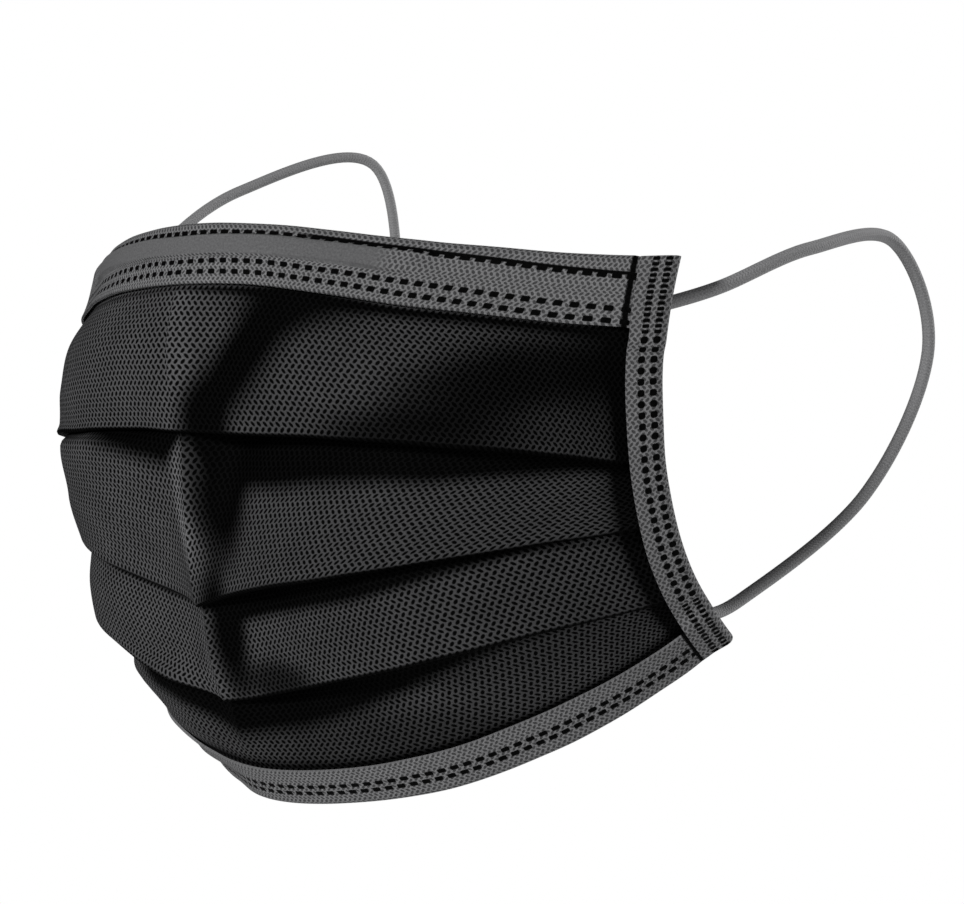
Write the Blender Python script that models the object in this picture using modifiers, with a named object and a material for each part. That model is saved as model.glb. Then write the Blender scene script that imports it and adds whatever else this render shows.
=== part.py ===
"""Pleated surgical mask in its worn form: a black three-ply cloth body with three down-facing
pleats, grey bindings on its four edges, a nose wire in the top binding, and two elastic ear loops.

Metres, +Z up. The mask faces -Y and the wearer's left is +X. The origin is on the inner face of the
top binding, on the middle plane, where the mask sits on the bridge of the nose.
"""
import math
from functools import partial

import bmesh
import bpy
from mathutils import Vector

# Cloth and gaps
CLOTH = 0.0010            # wall of the body and of each binding
GAP = 0.0003              # clearance between touching pieces
LAYER = CLOTH + GAP       # from the middle of one cloth layer to the next
STACK = 2 * LAYER         # a closed pleat: three layers, from the first middle to the last

# Body
HALF_COLUMNS = 18         # columns of faces from the middle plane to the side bindings
RIDGE_WIDTH = 0.009       # how fast the crease down the middle fades sideways
BODY_TAIL = 0.0034        # how far the body runs on under a side binding
EDGE_ROOM = 0.0004        # between the body's top or bottom edge and the fold of its binding

# One row for each line across the mask, on the wearer's left half. centre_y and centre_z place it on
# the middle plane, side is its place down the side edge (0 top, 1 bottom), the reaches are the
# lengths of its curve's handles, turn its heading at the side in degrees (0 straight across),
# the rises its slopes at each end, and ridge how far its middle crease stands forward.
FOLD_COLUMNS = ("centre_y", "centre_z", "side", "centre_reach", "side_reach",
                "turn", "centre_rise", "side_rise", "ridge")
FOLD_ROWS = {
    "top":         (-0.0018, 0.0000, 0.02, 0.024, 0.026, 40, 0.00, -0.02, 0.0000),
    "band_edge":   (-0.0039, -0.0096, 0.15, 0.033, 0.038, 42, 0.00, -0.05, 0.0000),
    "lip_1":       (-0.0042, -0.0345, 0.44, 0.031, 0.035, 74, 0.00, -0.14, 0.0000),
    "lip_2":       (0.0042, -0.0654, 0.60, 0.010, 0.060, 63, 0.42, 0.13, 0.0045),
    "lip_3":       (0.0102, -0.0828, 0.80, 0.024, 0.054, 76, 0.17, 0.16, 0.0045),
    "bottom_edge": (0.0130, -0.0951, 0.90, 0.029, 0.026, 48, 0.00, 0.72, 0.0000),
    "bottom":      (0.0172, -0.1008, 0.98, 0.028, 0.026, 56, 0.00, 0.77, 0.0000),
}

# The line down the outer edge of a side binding: the four points of its curve
SIDE_EDGE = ((0.0792, 0.0380, -0.0063), (0.0763, 0.0336, -0.0338),
             (0.0735, 0.0391, -0.0528), (0.0706, 0.0630, -0.0707))
SIDE_HEADING_TOP = 46     # level heading of the mask across the side binding, in degrees
SIDE_HEADING_BOTTOM = 68

# One row for each pleat: the lip that closes it, how far the cloth is folded up behind that lip at
# the middle and at the sides, and how wide the pleat's mouth gapes between them.
PLEAT_COLUMNS = ("overlap_centre", "overlap_side", "gape")
PLEATS = {
    "lip_1": (0.0050, 0.0060, 0.0068),
    "lip_2": (0.0040, 0.0048, 0.0042),
    "lip_3": (0.0040, 0.0048, 0.0052),
}

# Each stretch of cloth, named by the line below it: segments down it, and forward bulge
PANEL_COLUMNS = ("lower", "segments", "bulge")
PANELS = (
    ("band_edge", 1, 0.0000),
    ("lip_1", 5, 0.0016),
    ("lip_2", 5, 0.0016),
    ("lip_3", 4, 0.0010),
    ("bottom_edge", 3, 0.0012),
    ("bottom", 1, 0.0000),
)

# Bindings
BINDING_COLUMNS = 14      # columns of faces of a top or bottom binding, on each half
BACK_FLAP = 0.65          # a binding's inner flap, as a share of its outer one
SIDE_WIDTH = 0.0062       # a side binding, from its inner edge to its fold
SIDE_THIN = 0.0030        # width of its thin outer part, beyond the pleat ends
WELD_INSET = 0.0008       # the cloth lies flat from this far inside the side binding's inner edge
SIDE_STATIONS = 22
DEEPEST_LAYER = 0.0033    # depth at the sides of the innermost cloth layer, from the front one
SIDE_RAMP = 0.035         # share of the side edge over which it steps up on to another binding
STEP_ROOM = 0.015         # share of the side edge from that binding's edge to the step
TOP_CUT = (-0.012, 0.004) # places of its cut ends down the side edge, at the fold and at the inner edge
BOTTOM_CUT = (0.979, 0.968)
FOLD_CORNER = 0.7         # where the round of a folded binding passes, as a share of LAYER

# Nose wire, and the channel that it raises in the top binding's outer flap
WIRE_LENGTH = 0.090
WIRE_WIDTH = 0.0024
WIRE_THICK = 0.0005
CHANNEL_TOP = 0.0011      # below the top line
CHANNEL_HEIGHT = 0.0040
CHANNEL_SLOPE = 0.0004    # height of each sloping edge of the channel
CHANNEL_RUN_OUT = 0.004   # length over which the channel sinks away past the wire's end
CHANNEL_RISE = WIRE_THICK + GAP

# Ear loops: route points from the top end to the bottom end, on the wearer's left
CORD_DIAMETER = 0.0023
CORD_POINTS = 38
ROUTE_STEPS = 24          # points read between two of a route's own points, to even out the spacing
CORD_END_INSET = 0.0042   # a loop's end lies this far inside the side binding's fold
LOOP_TOP_END = 0.11       # places of its ends down the side edge
LOOP_BOTTOM_END = 0.94
LOOP_ROUTES = {
    "ear_loop_left": ((0.0798, 0.0475, -0.0105), (0.0840, 0.0665, -0.0035), (0.0840, 0.0905, -0.0015),
                      (0.0850, 0.0995, -0.0210), (0.0760, 0.0930, -0.0468), (0.0655, 0.0710, -0.0650)),
    "ear_loop_right": ((-0.0790, 0.0490, 0.0000), (-0.0785, 0.0720, 0.0153), (-0.0670, 0.1010, 0.0220),
                       (-0.0675, 0.1090, -0.0140), (-0.0630, 0.1015, -0.0440), (-0.0670, 0.0790, -0.0620)),
}

MATERIALS = {
    "black_cloth": (0.014, 0.014, 0.015, 0.85),
    "grey_binding": (0.150, 0.150, 0.152, 0.80),
    "grey_elastic": (0.140, 0.140, 0.142, 0.75),
    "zinc_wire": (0.400, 0.400, 0.410, 0.45),
}


def clear_scene():
    for old in list(bpy.data.objects):
        bpy.data.objects.remove(old, do_unlink=True)


def material(name):
    """A Principled material from its row in MATERIALS: red, green, blue, roughness."""
    made = bpy.data.materials.get(name)
    if made:
        return made
    red, green, blue, rough = MATERIALS[name]
    made = bpy.data.materials.new(name)
    made.use_nodes = True
    shader = made.node_tree.nodes["Principled BSDF"]
    shader.inputs["Base Color"].default_value = (red, green, blue, 1.0)
    shader.inputs["Roughness"].default_value = rough
    shader.inputs["Metallic"].default_value = 1.0 if name == "zinc_wire" else 0.0
    return made


def mix(start, end, share):
    return start + (end - start) * share


def smooth_step(share):
    share = min(max(share, 0.0), 1.0)
    return share * share * (3 - 2 * share)


def bezier(points, share):
    a, b, c, d = points
    rest = 1 - share
    return a * rest**3 + b * 3 * rest * rest * share + c * 3 * rest * share * share + d * share**3


# Lines and surfaces of the cloth

def side_edge(place):
    """A point on the left side binding's fold, at place 0 (top) to 1 (bottom)."""
    return bezier([Vector(p) for p in SIDE_EDGE], place)


def side_frame(place):
    """At a point of the left side edge: the direction outwards across it, and the one behind it."""
    run = (side_edge(place + 0.01) - side_edge(place - 0.01)).normalized()
    angle = math.radians(mix(SIDE_HEADING_TOP, SIDE_HEADING_BOTTOM, place))
    outwards = Vector((math.cos(angle), math.sin(angle), 0.0))
    outwards = (outwards - run * outwards.dot(run)).normalized()
    return outwards, outwards.cross(run)


def row_value(row, column):
    return FOLD_ROWS[row][FOLD_COLUMNS.index(column)]


def row_point(row, share, creased=True):
    """A point on a line across the mask. Past share 1 the line runs on under the side binding."""
    value = dict(zip(FOLD_COLUMNS, FOLD_ROWS[row]))
    outwards = side_frame(value["side"])[0]
    start = Vector((0.0, value["centre_y"], value["centre_z"]))
    end = side_edge(value["side"]) - outwards * (SIDE_WIDTH + WELD_INSET)
    turn = math.radians(value["turn"])
    arrive = Vector((math.cos(turn), math.sin(turn), value["side_rise"]))
    leave = Vector((1.0, 0.0, value["centre_rise"]))
    curve = (start, start + leave * value["centre_reach"], end - arrive * value["side_reach"], end)
    point = bezier(curve, min(share, 1.0))
    if creased:
        point.y -= value["ridge"] * math.exp(-point.x / RIDGE_WIDTH)
    if share > 1.0:
        point += outwards * (share - 1.0)
    return point


def row_back(row, share, run):
    """The direction towards the face, square to a line across the mask and to the run down it."""
    if share > 1.0:
        return side_frame(row_value(row, "side"))[1]
    step = 0.01
    before = row_point(row, max(share - step, 0.0), creased=False)
    after = row_point(row, min(share + step, 1.0), creased=False)
    if share < step:
        before = Vector((-after.x, after.y, after.z))
        run = Vector((0.0, run.y, run.z))
    return (after - before).cross(run).normalized()


def welded_point(place, share):
    """A point of the flat cloth under the left side binding, from the weld line (share 1) outwards."""
    outwards = side_frame(place)[0]
    return side_edge(place) - outwards * (SIDE_WIDTH + WELD_INSET - max(share - 1, 0.0))


def panel_point(panel, down, share):
    """A point on a stretch of cloth: down it from 0 to 1, and across it."""
    upper_at, upper_place, lower, bulge = panel
    top = upper_at(share)
    low = row_point(lower, share)
    swell = bulge * 4 * down * (1 - down) * max(0.0, 1 - share**4)
    point = mix(top, low, down) - row_back(lower, share, low - top) * swell
    lower_place = row_value(lower, "side")
    bow = welded_point(mix(upper_place, lower_place, down), share)
    bow -= mix(welded_point(upper_place, share), welded_point(lower_place, share), down)
    return point + bow * min(share, 1.0)**6


def pleat_values(lip, share):
    """Overlap behind a lip, and its distance to the next panel, at a place across the mask."""
    value = dict(zip(PLEAT_COLUMNS, PLEATS[lip]))
    flat = min(share, 1.0)
    overlap = mix(value["overlap_centre"], value["overlap_side"], flat)
    distance = row_point(lip, flat).x
    opened = value["gape"] * (1 - math.exp(-distance / RIDGE_WIDTH)) * (1 - flat)
    return overlap, STACK + opened


def tuck_line(panel):
    """The next panel's upper line, behind this panel and up from its lip by the overlap."""
    upper_at, upper_place, lip, bulge = panel

    def down_at(share):
        drop = row_point(lip, share) - upper_at(share)
        return 1 - pleat_values(lip, share)[0] / drop.length, drop

    def tuck_at(share):
        down, drop = down_at(share)
        return panel_point(panel, down, share) + row_back(lip, share, drop) * pleat_values(lip, share)[1]

    return tuck_at, mix(upper_place, row_value(lip, "side"), down_at(1.0)[0])


def cloth_profile(share):
    """The body's middle surface at one place across the mask, from its top edge to its bottom one."""
    points = [row_point("top", share)]
    upper_at = partial(row_point, "top")
    upper_place = row_value("top", "side")
    for lower, segments, bulge in PANELS:
        panel = (upper_at, upper_place, lower, bulge)
        for step in range(1, segments + 1):
            points.append(panel_point(panel, step / segments, share))
        upper_at = partial(row_point, lower)
        upper_place = row_value(lower, "side")
        if lower in PLEATS:
            run = (points[-1] - points[-2]).normalized()
            back = row_back(lower, share, run)
            lip = points[-1]
            upper_at, upper_place = tuck_line(panel)
            tuck = upper_at(share)
            points += [lip + (back + run) * LAYER / 2, lip + back * LAYER]
            points += [tuck - back * LAYER, tuck - (back + run) * LAYER / 2, tuck]
    for end, inner in ((0, 1), (-1, -2)):
        room = EDGE_ROOM / (points[inner] - points[end]).length
        points[end] = mix(points[end], points[inner], room)
    return points


# Mesh builders

def sheet_object(name, grid, material_name, mirrored):
    """A cloth piece: a grid of points skinned with quads, then Mirror if asked, then Solidify."""
    mesh = bpy.data.meshes.new(name)
    shape = bmesh.new()
    rows = [[shape.verts.new(point) for point in line] for line in grid]
    for line, following in zip(rows, rows[1:]):
        for a, b, c, d in zip(line, line[1:], following[1:], following):
            shape.faces.new((a, b, c, d))
    shape.to_mesh(mesh)
    shape.free()
    made = bpy.data.objects.new(name, mesh)
    collection.objects.link(made)
    made.data.materials.append(material(material_name))
    if mirrored:
        mirror = made.modifiers.new("Mirror", "MIRROR")
        mirror.use_axis = (True, False, False)
        mirror.merge_threshold = 0.00001
    thicken = made.modifiers.new("Solidify", "SOLIDIFY")
    thicken.thickness = CLOTH
    thicken.offset = 0.0
    thicken.use_even_offset = True
    mesh.shade_smooth()
    mesh.set_sharp_from_angle(angle=math.radians(50))
    return made


def column_shares(count, tail):
    """Places across the mask, closer together near the middle crease, then under the side binding."""
    shares = [mix(step / count, (step / count)**1.6, 0.5) for step in range(count + 1)]
    return shares + [1.0 + tail / 2, 1.0 + tail]


def mask_body():
    grid = [cloth_profile(share) for share in column_shares(HALF_COLUMNS, BODY_TAIL)]
    return sheet_object("mask_body", grid, "black_cloth", mirrored=True)


def folded_edge(outer_row, inner_row, share, raised):
    """A binding's middle surface at one place across: outer flap, fold over the edge, inner flap.

    raised lists (distance from the fold, rise) for the outer flap.
    """
    fold = row_point(outer_row, share)
    edge = row_point(inner_row, share)
    run = (edge - fold).normalized()
    width = (edge - fold).length
    downwards = math.copysign(1, row_value(inner_row, "side") - row_value(outer_row, "side"))
    back = row_back(outer_row, share, run * downwards)
    points = [edge - back * LAYER]
    for distance, rise in raised:
        points.append(fold + run * min(distance, width) - back * (LAYER + rise))
    points.append(fold - back * LAYER)
    points.append(fold - (back + run) * LAYER * FOLD_CORNER)
    points.append(fold - run * LAYER)
    points.append(fold + (back - run) * LAYER * FOLD_CORNER)
    points.append(fold + back * LAYER)
    points.append(fold + run * width * BACK_FLAP + back * LAYER)
    return points


def channel_rise(share):
    """How far the nose wire raises the top binding, at one place across the mask."""
    past_end = row_point("top", share).x - WIRE_LENGTH / 2
    return CHANNEL_RISE * (1 - smooth_step(past_end / CHANNEL_RUN_OUT))


def top_binding():
    grid = []
    for share in column_shares(BINDING_COLUMNS, BODY_TAIL):
        rise = channel_rise(share)
        low = CHANNEL_TOP + CHANNEL_HEIGHT
        raised = ((low, 0.0), (low - CHANNEL_SLOPE, rise), (CHANNEL_TOP + CHANNEL_SLOPE, rise))
        grid.append(folded_edge("top", "band_edge", share, raised))
    return sheet_object("top_binding", grid, "grey_binding", mirrored=True)


def bottom_binding():
    grid = []
    for share in column_shares(BINDING_COLUMNS, BODY_TAIL):
        grid.append(folded_edge("bottom", "bottom_edge", share, ()))
    return sheet_object("bottom_binding", grid, "grey_binding", mirrored=True)


def binding_depths(place):
    """How far the side binding's outer and inner flaps lie from the body's front layer."""
    on_top = 1 - smooth_step((place - row_value("band_edge", "side") - STEP_ROOM) / SIDE_RAMP)
    on_bottom = smooth_step((place - row_value("bottom_edge", "side") + STEP_ROOM) / SIDE_RAMP + 1)
    over_binding = max(on_top, on_bottom)
    return LAYER * (1 + over_binding), LAYER + mix(DEEPEST_LAYER, LAYER, over_binding)


def side_binding(name, sign):
    grid = []
    for station in range(SIDE_STATIONS + 1):
        down = station / SIDE_STATIONS
        front_depth, back_depth = binding_depths(down)
        line = (
            (SIDE_WIDTH, -front_depth),
            (SIDE_THIN, -front_depth),
            (LAYER, -front_depth),
            (LAYER * (1 - FOLD_CORNER), -front_depth + LAYER * (1 - FOLD_CORNER)),
            (0.0, -front_depth + LAYER),
            (LAYER * (1 - FOLD_CORNER), -front_depth + LAYER * (1 + FOLD_CORNER)),
            (LAYER, -front_depth + LAYER * 2),
            (SIDE_THIN, back_depth),
            (SIDE_WIDTH, back_depth),
        )
        points = []
        for across, depth in line:
            inwards = across / SIDE_WIDTH
            place = mix(mix(TOP_CUT[0], TOP_CUT[1], inwards), mix(BOTTOM_CUT[0], BOTTOM_CUT[1], inwards), down)
            outwards, back = side_frame(place)
            point = side_edge(place) - outwards * across + back * depth
            points.append(Vector((sign * point.x, point.y, point.z)))
        grid.append(points)
    return sheet_object(name, grid, "grey_binding", mirrored=False)


def nose_wire():
    """A flat strip in the channel, bent with the top binding."""
    centre = CHANNEL_TOP + CHANNEL_HEIGHT / 2
    depth = CLOTH / 2 + GAP + WIRE_THICK / 2
    grid = []
    for share in column_shares(BINDING_COLUMNS, BODY_TAIL):
        fold = row_point("top", share)
        if fold.x > WIRE_LENGTH / 2:
            break
        run = (row_point("band_edge", share) - fold).normalized()
        middle = fold + run * centre - row_back("top", share, run) * depth
        grid.append([middle - run * WIRE_WIDTH / 2, middle + run * WIRE_WIDTH / 2])
    made = sheet_object("nose_wire", grid, "zinc_wire", mirrored=True)
    made.modifiers["Solidify"].thickness = WIRE_THICK
    return made


def smooth_route(points, count):
    """Evenly spaced points of a smooth curve that passes through the route's own points."""
    padded = [points[0] * 2 - points[1]] + points + [points[-1] * 2 - points[-2]]
    fine = []
    for a, b, c, d in zip(padded, padded[1:], padded[2:], padded[3:]):
        for step in range(ROUTE_STEPS):
            u = step / ROUTE_STEPS
            fine.append(0.5 * (2 * b + (c - a) * u + (2 * a - 5 * b + 4 * c - d) * u**2
                               + (3 * b - a - 3 * c + d) * u**3))
    fine.append(points[-1])
    lengths = [0.0]
    for before, after in zip(fine, fine[1:]):
        lengths.append(lengths[-1] + (after - before).length)
    read = []
    index = 0
    for step in range(count):
        wanted = lengths[-1] * step / (count - 1)
        while index < len(fine) - 2 and lengths[index + 1] < wanted:
            index += 1
        span = lengths[index + 1] - lengths[index]
        read.append(mix(fine[index], fine[index + 1], min(1.0, (wanted - lengths[index]) / span)))
    return read


def loop_end(place, sign):
    """Where a loop's end lies against the inner flap of the side binding."""
    back_depth = binding_depths(place)[1]
    lift = back_depth + CLOTH / 2 + GAP + CORD_DIAMETER / 2
    outwards, back = side_frame(place)
    point = side_edge(place) - outwards * CORD_END_INSET + back * lift
    return Vector((sign * point.x, point.y, point.z))


def ear_loop(name, sign):
    route = [loop_end(LOOP_TOP_END, sign)]
    route += [Vector(point) for point in LOOP_ROUTES[name]]
    route.append(loop_end(LOOP_BOTTOM_END, sign))
    curve = bpy.data.curves.new(name, "CURVE")
    curve.dimensions = "3D"
    curve.bevel_depth = CORD_DIAMETER / 2
    curve.bevel_resolution = 2
    curve.use_fill_caps = True
    points = smooth_route(route, CORD_POINTS)
    spline = curve.splines.new("POLY")
    spline.points.add(len(points) - 1)
    for knot, point in zip(spline.points, points):
        knot.co = (*point, 1.0)
    made = bpy.data.objects.new(name, curve)
    collection.objects.link(made)
    curve.materials.append(material("grey_elastic"))
    return made


clear_scene()
collection = bpy.data.collections.new("surgical_mask")
bpy.context.scene.collection.children.link(collection)

mask_body()
top_binding()
bottom_binding()
side_binding("side_binding_left", 1)
side_binding("side_binding_right", -1)
nose_wire()
ear_loop("ear_loop_left", 1)
ear_loop("ear_loop_right", -1)
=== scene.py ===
"""Surgical mask, dressed on its CAD frame. Metres, +Z up, mask facing -Y, wearer's left at +X."""
import math

import bpy
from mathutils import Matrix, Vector, noise


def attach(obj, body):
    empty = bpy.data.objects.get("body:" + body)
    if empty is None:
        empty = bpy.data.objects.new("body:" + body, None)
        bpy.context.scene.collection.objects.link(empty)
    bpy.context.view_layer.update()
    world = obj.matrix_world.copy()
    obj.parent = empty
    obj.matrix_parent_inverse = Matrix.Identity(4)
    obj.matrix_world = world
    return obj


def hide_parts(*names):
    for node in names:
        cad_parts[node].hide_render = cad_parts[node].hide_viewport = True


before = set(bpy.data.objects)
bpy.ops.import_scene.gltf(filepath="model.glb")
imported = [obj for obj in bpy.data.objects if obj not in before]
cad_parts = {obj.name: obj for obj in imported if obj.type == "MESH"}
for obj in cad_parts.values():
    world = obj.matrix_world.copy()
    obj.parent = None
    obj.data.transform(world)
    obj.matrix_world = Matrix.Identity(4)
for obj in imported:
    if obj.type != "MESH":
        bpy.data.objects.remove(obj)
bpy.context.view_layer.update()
bpy.ops.object.select_all(action="DESELECT")


# ---------------------------------------------------------------------------------------------
# Ear loops. Round elastic cord 2.3 mm thick: rubber threads inside a fine knitted tube of grey
# polyamide. Each end is welded to the inner flap of a side binding.
# ---------------------------------------------------------------------------------------------

SIDE_EDGE = ((0.0792, 0.0380, -0.0063), (0.0763, 0.0336, -0.0338),
             (0.0735, 0.0391, -0.0528), (0.0706, 0.0630, -0.0707))
SIDE_HEADING_TOP = 46
SIDE_HEADING_BOTTOM = 68
CORD_DIAMETER = 0.0023
CORD_END_INSET = 0.0042
CORD_END_DEPTH = 0.0045              # behind the front cloth layer
LOOP_TOP_END = 0.11
LOOP_BOTTOM_END = 0.94
LOOP_ROUTES = {
    "ear_loop_left": (
        (0.0798, 0.0475, -0.0105), (0.0840, 0.0665, -0.0035), (0.0840, 0.0905, -0.0015),
        (0.0850, 0.0995, -0.0210), (0.0760, 0.0930, -0.0468), (0.0655, 0.0710, -0.0650)),
    "ear_loop_right": (
        (-0.0790, 0.0490, 0.0000), (-0.0785, 0.0720, 0.0153), (-0.0670, 0.1010, 0.0220),
        (-0.0675, 0.1090, -0.0140), (-0.0630, 0.1015, -0.0440), (-0.0670, 0.0790, -0.0620)),
}
CORD_STEP = 0.0009                   # between two rings of the tube
CORD_SIDES = 20


def mix(start, end, share):
    return start + (end - start) * share


def smooth_step(share):
    share = min(max(share, 0.0), 1.0)
    return share * share * (3 - 2 * share)


def bezier(points, share):
    a, b, c, d = points
    rest = 1 - share
    return a * rest**3 + b * 3 * rest * rest * share + c * 3 * rest * share * share + d * share**3


def side_edge(place):
    """A point on the left side binding's fold, at place 0 (top) to 1 (bottom)."""
    return bezier([Vector(p) for p in SIDE_EDGE], place)


def side_frame(place):
    """At a point of the left side edge: the direction outwards across it, and the one behind it."""
    run = (side_edge(place + 0.01) - side_edge(place - 0.01)).normalized()
    angle = math.radians(mix(SIDE_HEADING_TOP, SIDE_HEADING_BOTTOM, place))
    outwards = Vector((math.cos(angle), math.sin(angle), 0.0))
    outwards = (outwards - run * outwards.dot(run)).normalized()
    return outwards, outwards.cross(run)


def cord_end(place, sign):
    outwards, back = side_frame(place)
    point = side_edge(place) - outwards * CORD_END_INSET + back * CORD_END_DEPTH
    return Vector((sign * point.x, point.y, point.z))


def cord_path(name, sign):
    """Evenly spaced points of the smooth curve through the loop's route."""
    route = [cord_end(LOOP_TOP_END, sign)]
    route += [Vector(point) for point in LOOP_ROUTES[name]]
    route.append(cord_end(LOOP_BOTTOM_END, sign))
    padded = [route[0] * 2 - route[1]] + route + [route[-1] * 2 - route[-2]]
    fine = []
    for a, b, c, d in zip(padded, padded[1:], padded[2:], padded[3:]):
        for step in range(60):
            u = step / 60
            fine.append(0.5 * (2 * b + (c - a) * u + (2 * a - 5 * b + 4 * c - d) * u**2
                               + (3 * b - a - 3 * c + d) * u**3))
    fine.append(route[-1])
    path = [fine[0]]
    for point in fine[1:-1]:
        if (point - path[-1]).length >= CORD_STEP:
            path.append(point)
    return path + [fine[-1]]


def line_length(points):
    return sum((after - before).length for before, after in zip(points, points[1:]))


def mapped_grid(name, lines, across, down):
    """A flat grid laid on to the given lines of points, top line first, each from -X to +X.

    across and down give its UV map in millimetres of flat cloth.
    """
    rows, columns = len(lines), len(lines[0])
    bpy.ops.mesh.primitive_grid_add(x_subdivisions=columns - 1, y_subdivisions=rows - 1, size=2)
    made = bpy.context.object
    made.name = name
    mesh = made.data
    mesh.name = name
    places = []
    for vertex in mesh.vertices:
        column = round((vertex.co.x + 1) / 2 * (columns - 1))
        row = round((1 - vertex.co.y) / 2 * (rows - 1))
        places.append((row, column))
        vertex.co = lines[row][column]
    flat = mesh.uv_layers[0]
    flat.name = "cloth_mm"
    for loop in mesh.loops:
        row, column = places[loop.vertex_index]
        flat.uv[loop.index].vector = (across[column], down[row])
    return made


def cord_tube(name, path):
    """A round tube along the path, closed with caps, and its length."""
    total = line_length(path)
    aside = (path[1] - path[0]).cross(Vector((0, 0, 1))).normalized()
    rings = []
    along = [0.0]
    for index, point in enumerate(path):
        before = path[max(index - 1, 0)]
        after = path[min(index + 1, len(path) - 1)]
        heading = (after - before).normalized()
        aside = (aside - heading * aside.dot(heading)).normalized()
        up = heading.cross(aside)
        if index:
            along.append(along[-1] + (point - path[index - 1]).length)
        rings.append([point + (aside * math.cos(turn) + up * math.sin(turn)) * CORD_DIAMETER / 2
                      for turn in (math.tau * side / CORD_SIDES for side in range(CORD_SIDES + 1))])
    around = [side / CORD_SIDES * math.pi * CORD_DIAMETER * 1000 for side in range(CORD_SIDES + 1)]
    made = mapped_grid(name, rings, around, [a * 1000 for a in along])
    bpy.ops.object.mode_set(mode="EDIT")
    bpy.ops.mesh.select_all(action="SELECT")
    bpy.ops.mesh.remove_doubles(threshold=0.00002)
    bpy.ops.mesh.select_all(action="DESELECT")
    bpy.ops.mesh.select_mode(type="EDGE")
    bpy.ops.mesh.select_non_manifold(extend=False, use_boundary=True, use_wire=False,
                                     use_multi_face=False, use_non_contiguous=False, use_verts=False)
    bpy.ops.mesh.edge_face_add()
    bpy.ops.mesh.select_all(action="SELECT")
    bpy.ops.mesh.normals_make_consistent(inside=False)
    bpy.ops.object.mode_set(mode="OBJECT")
    bpy.ops.object.shade_smooth_by_angle(angle=math.radians(50))
    return made, total


def linear(code):
    """The linear colour of an sRGB hex code."""
    parts = [int(code[i:i + 2], 16) / 255 for i in (1, 3, 5)]
    return tuple(p / 12.92 if p <= 0.04045 else ((p + 0.055) / 1.055)**2.4 for p in parts) + (1.0,)


def add_node(tree, kind, inputs=(), **settings):
    """Adds a node. inputs maps a socket's name or number to a value, a socket, or a node."""
    node = tree.nodes.new(kind)
    for key, value in settings.items():
        setattr(node, key, value)
    for key, value in dict(inputs).items():
        if isinstance(value, bpy.types.Node):
            value = value.outputs[0]
        if isinstance(value, bpy.types.NodeSocket):
            tree.links.new(value, node.inputs[key])
        else:
            node.inputs[key].default_value = value
    return node


def work_out(tree, known, steps):
    """Adds one Math node for each step (result, operation, operands) and returns all results."""
    results = dict(known)
    for result, operation, *operands in steps:
        inputs = {i: results[x] if isinstance(x, str) else x for i, x in enumerate(operands)}
        results[result] = add_node(tree, "ShaderNodeMath", inputs, operation=operation)
    return results


def new_material(name):
    """An empty material, with the flat cloth's millimetres as s (across) and t (down)."""
    made = bpy.data.materials.new(name)
    made.use_nodes = True
    tree = made.node_tree
    shader = tree.nodes["Principled BSDF"]
    flat = add_node(tree, "ShaderNodeUVMap", uv_map="cloth_mm")
    parts = add_node(tree, "ShaderNodeSeparateXYZ", {0: flat.outputs["UV"]})
    return made, tree, shader, {"s": parts.outputs[0], "t": parts.outputs[1]}, flat.outputs["UV"]


# Knitted polyamide: dull, with small chevron stitches that only show close up.
STITCH_LONG = 0.62                    # mm, drawn about half as coarse again as the real stitch
STITCH_WIDE = 0.80

elastic, tree, shader, flat_mm, flat_uv = new_material("knitted_polyamide_elastic")
knit = work_out(tree, flat_mm, (
    ("wales", "DIVIDE", "s", STITCH_WIDE),
    ("wale", "FRACT", "wales"),
    ("off", "SUBTRACT", "wale", 0.5),
    ("slope", "ABSOLUTE", "off"),
    ("courses", "DIVIDE", "t", STITCH_LONG),
    ("slanted", "ADD", "courses", "slope"),
    ("phase", "MULTIPLY", "slanted", math.tau),
    ("wave", "SINE", "phase"),
    ("groove", "MULTIPLY", "slope", -0.8),
    ("height", "MULTIPLY_ADD", "wave", 0.5, "groove"),
))
fuzz = add_node(tree, "ShaderNodeTexNoise", {"Vector": flat_uv, "Scale": 2.2, "Detail": 4.0})
shade = work_out(tree, {"h": knit["height"], "fuzz": fuzz.outputs[0]}, (
    ("knit", "MULTIPLY_ADD", "h", 0.22, 0.55),
    ("tone", "MULTIPLY_ADD", "fuzz", 0.45, "knit"),
    ("low", "SUBTRACT", "tone", 0.22),
))
colour = add_node(tree, "ShaderNodeMix", {0: shade["low"], 6: linear("#5c5c5d"), 7: linear("#909091")},
                  data_type="RGBA")
bump = add_node(tree, "ShaderNodeBump", {"Height": knit["height"], "Distance": 0.00007, "Strength": 0.8})
tree.links.new(colour.outputs[2], shader.inputs["Base Color"])
tree.links.new(bump.outputs[0], shader.inputs["Normal"])
shader.inputs["Roughness"].default_value = 0.82
shader.inputs["Specular IOR Level"].default_value = 0.15

for name, sign in (("ear_loop_left", 1), ("ear_loop_right", -1)):
    path = cord_path(name, sign)
    cord, length = cord_tube(name + "_knit", path)
    cord.data.materials.append(elastic)
    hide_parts(name)
    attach(cord, "root")


# ---------------------------------------------------------------------------------------------
# Mask body. Three layers of black polypropylene nonwoven, spunbond outside, bonded hot between
# embossed rollers, then folded into three pleats that open downwards and pressed.
# ---------------------------------------------------------------------------------------------

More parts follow.
